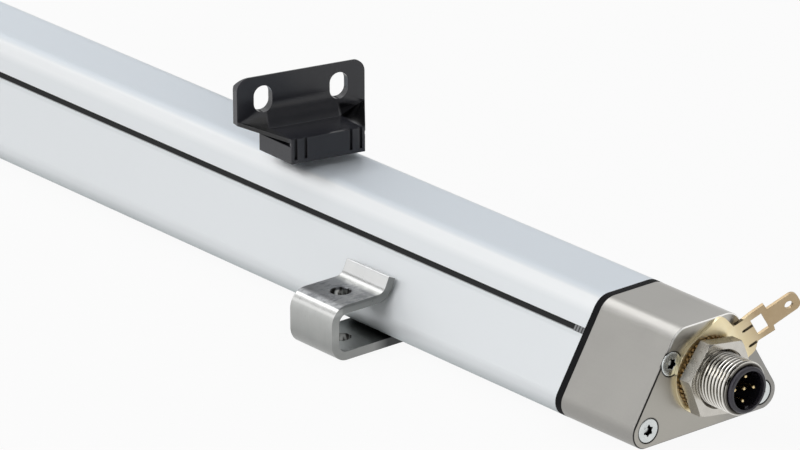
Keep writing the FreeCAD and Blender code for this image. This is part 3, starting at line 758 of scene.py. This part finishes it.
strips = (film.axis("Y") * 1.2).fraction().between(0.45, 0.55)
film.feed("Base Color", film.blend(strips, (0.42, 0.2, 0.05, 1), (0.62, 0.36, 0.12, 1)))
film.relief(strips * 0.02)
film.dress("connector_flex")

# Sensing rod and pickup coil. The rod is a pale woven sheath over the sensing wire, and the
# coil round it is wound of enamelled copper wire.
sheath = Finish("sheath", (0.74, 0.73, 0.69), Roughness=0.5)
weave = sheath.noise(0.3, 2.0, 0.5, (0.1, 1, 1))
sheath.feed("Base Color", sheath.blend(weave, (0.68, 0.67, 0.62, 1), (0.80, 0.79, 0.76, 1)))
sheath.relief(weave * 0.01)
sheath.dress("sensing_rod")
copper = Finish("coil_wire", (0.5, 0.17, 0.06), Metallic=1.0, Roughness=0.3)
wires = (copper.axis("X") * 8.0).fraction()
copper.feed("Base Color", copper.blend(wires, (0.32, 0.09, 0.03, 1), (0.62, 0.24, 0.09, 1)))
copper.relief(wires * 0.04)
copper.dress("pickup_coil")

# Mounting clamp. Stainless strip, sheared, bent and pierced; rolling lines run along the strip and
# the upper leaf is scuffed by the screw's head. A painted highlight brightens the upper bend and the
# lip, and painted shade darkens the upper leaf, the web's foot, the sheared ends, the hole's wall
# and the leaf under the profile.
clamp_middle, clamp_half, clamp_hole = 64.8, 7.25, -25.9

steel = Finish("stainless", (0.58, 0.585, 0.575), Metallic=1.0)
along, across, height = (steel.axis(name) for name in "XYZ")
aside = along - clamp_middle
rolled = steel.noise(0.22, 4.0, 0.65, (1, 0.05, 0.05))
cloudy = steel.noise(3.5, 3.0, 0.55)
metal = steel.blend(cloudy * 0.6 + rolled * 0.4, (0.42, 0.43, 0.42, 1), (0.64, 0.645, 0.63, 1))
leaf = height.between(9.85, 10.1) * height.between(10.75, 10.65)
scuff = steel.noise(0.9, 4.0, 0.7, (1, 0.4, 1), (0, 0, 0.35)) * 0.5 + steel.noise(4.5, 2.0) * 0.5
scuff = scuff.between(0.47, 0.58) * leaf
# Real wear and painted shade: the upper leaf darkens to blue-grey, mostly as painted shade, with the screw
# head's scuffs in patches; worn carries both.
worn = scuff * 0.2 + leaf * (0.62 - aside.between(-0.8, 4.2) * 0.12)
metal = steel.blend(worn * across.between(-20.8, -22.3), metal, (0.07, 0.075, 0.095, 1))
# Painted highlights: a bright band on the upper bend, and a lighter lip above the leaf.
bend = height.between(8.2, 8.9) * height.between(10.05, 9.85) * across.between(-31, -31.5)
metal = steel.blend(bend * 0.85, metal, (0.96, 0.965, 0.95, 1))
painted_lip_highlight = height.between(10.75, 11.3)
metal = steel.blend(painted_lip_highlight * 0.5, metal, (0.86, 0.865, 0.87, 1))
# Painted shade: the web darkens towards its foot, and the sheared ends darken, most towards the top.
sheared = aside.size().between(clamp_half - 0.06, clamp_half - 0.01)
low = height.between(9, 1.5) * 0.55 + sheared * (height.between(4, 10) * 0.6 + 0.12)
metal = steel.blend(low, metal, (0.16, 0.165, 0.16, 1))
# Painted shadow: near black on the lower leaf under the profile's edge.
under = across.between(-22.5, -18.5) * height.between(0.6, 0.0)
metal = steel.blend(under * 0.85, metal, (0.02, 0.021, 0.023, 1))
# Painted shade and reflection: the screw hole's wall is near black, broken by lighter streaks.
outward = across - clamp_hole
hole = (aside * aside + outward * outward).between(6.2, 5.6)
bands = steel.noise(1.3, 2.0, 0.5, (1, 1, 0.3)).between(0.56, 0.44)
steel.feed("Base Color", steel.blend(hole * (0.2 + bands * 0.75), metal, (0.015, 0.014, 0.012, 1)))
steel.feed("Roughness", 0.2 + rolled * 0.16 + cloudy * 0.06 + scuff * 0.2)
steel.relief(rolled * 0.004 - scuff * 0.01, 0.12)
steel.dress("mounting_clamp")

# Position magnet. Black glass filled plastic with a fine spark grain and a smooth hollow on each
# side of its block; the underside closes with a cover over the magnet bars.
magnet_x = 19.35
magnet_turn = math.radians(12.8)

shell = Finish("magnet_plastic", (0.008, 0.0085, 0.01), IOR=1.55)
along, across, height = (shell.axis(name) for name in "XYZ")
along = along - magnet_x
ahead = along * math.cos(magnet_turn) - across * math.sin(magnet_turn)
aside = along * math.sin(magnet_turn) + across * math.cos(magnet_turn)
pebble = shell.noise(0.22, 3.0, 0.6)
haze = shell.noise(7.0, 3.0, 0.5)
# Painted shade: the hollow beside the block is near black, and metallic on one side so it shows no sheen.
painted_hollow_shade = aside.size().between(8.8, 9.4) * ahead.between(0.1, 0.5) * ahead.between(13.2, 12.6)
painted_hollow_shade = painted_hollow_shade * height.between(34.4, 33.6) * height.between(31.0, 31.3)
black = shell.blend(haze * 0.6 + pebble * 0.4, (0.019, 0.0195, 0.026, 1), (0.031, 0.032, 0.04, 1))
shell.feed("Base Color", shell.blend(painted_hollow_shade, black, (0.002, 0.002, 0.003, 1)))
shell.feed("Metallic", painted_hollow_shade * aside.between(8, 9) * 0.9)
shell.feed("Roughness", 0.13 + pebble * 0.08 + haze * 0.06)
shell.relief(pebble * 0.003, 0.15)
shell.dress("magnet_bracket", "magnet_cover")
ferrite = Finish("ferrite", (0.1, 0.1, 0.11), Roughness=0.6)
crystal = ferrite.noise(0.3, 3.0)
ferrite.feed("Base Color", ferrite.blend(crystal, (0.07, 0.07, 0.075, 1), (0.14, 0.14, 0.15, 1)))
ferrite.relief(crystal * 0.01)
ferrite.dress("magnet_bars")
